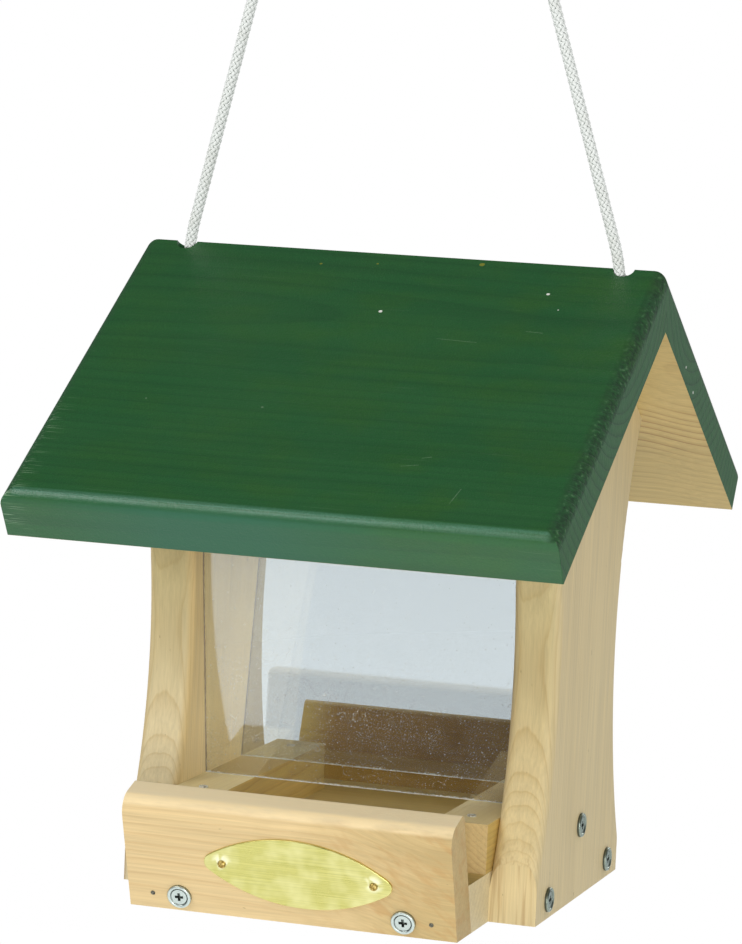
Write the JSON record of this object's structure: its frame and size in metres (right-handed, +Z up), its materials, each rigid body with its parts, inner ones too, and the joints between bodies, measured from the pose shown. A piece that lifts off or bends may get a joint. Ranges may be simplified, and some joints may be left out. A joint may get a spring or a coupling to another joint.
{
  "type": "hanging bird feeding house",
  "caption": "Wooden hanging bird feeder with a painted gable roof that slides up its cord, a clear-sided seed hopper, and a railed seed tray.",
  "frame": {"origin": "under the middle of the house, on the plane that the house stands on", "axes": "+Z up, +X along the ridge to the right, front with the plate towards -Y"},
  "size_m": [0.2176, 0.28, 0.4092],
  "materials": {
    "pine": "planed, unvarnished",
    "roof_paint": "satin green paint",
    "clear_pane": "clear, lightly scratched",
    "brass": "brushed",
    "zinc_steel": "zinc plated",
    "white_cord": "braided"
  },
  "bodies": {
    "house": {"side_wall_left": "pine", "side_wall_right": "pine", "floor_board": "pine", "cross_block_left": "pine", "cross_block_right": "pine", "front_rail": "pine", "rear_rail": "pine", "front_pane": "clear_pane", "rear_pane": "clear_pane", "name_plate": "brass", "plate_pins": "brass", "left_wall_screws": "zinc_steel", "right_wall_screws": "zinc_steel", "front_rail_screws": "zinc_steel", "rear_rail_screws": "zinc_steel", "left_wall_washers": "zinc_steel", "right_wall_washers": "zinc_steel", "front_rail_washers": "zinc_steel", "rear_rail_washers": "zinc_steel", "rail_pins": "zinc_steel", "block_nails": "zinc_steel", "cord_inner_left": "white_cord", "cord_inner_right": "white_cord", "cord_knot_left": "white_cord", "cord_knot_right": "white_cord"},
    "roof": {"front_roof_board": "roof_paint", "rear_roof_board": "roof_paint", "cord_leg_left": "white_cord", "cord_leg_right": "white_cord", "hanging_loop_left": "white_cord", "hanging_loop_right": "white_cord"}
  },
  "joints": [
    {"name": "roof_lift", "type": "slide", "parent": "house", "child": "roof", "axis": [0, 0, 1], "range_m": [0, 0.12]}
  ]
}
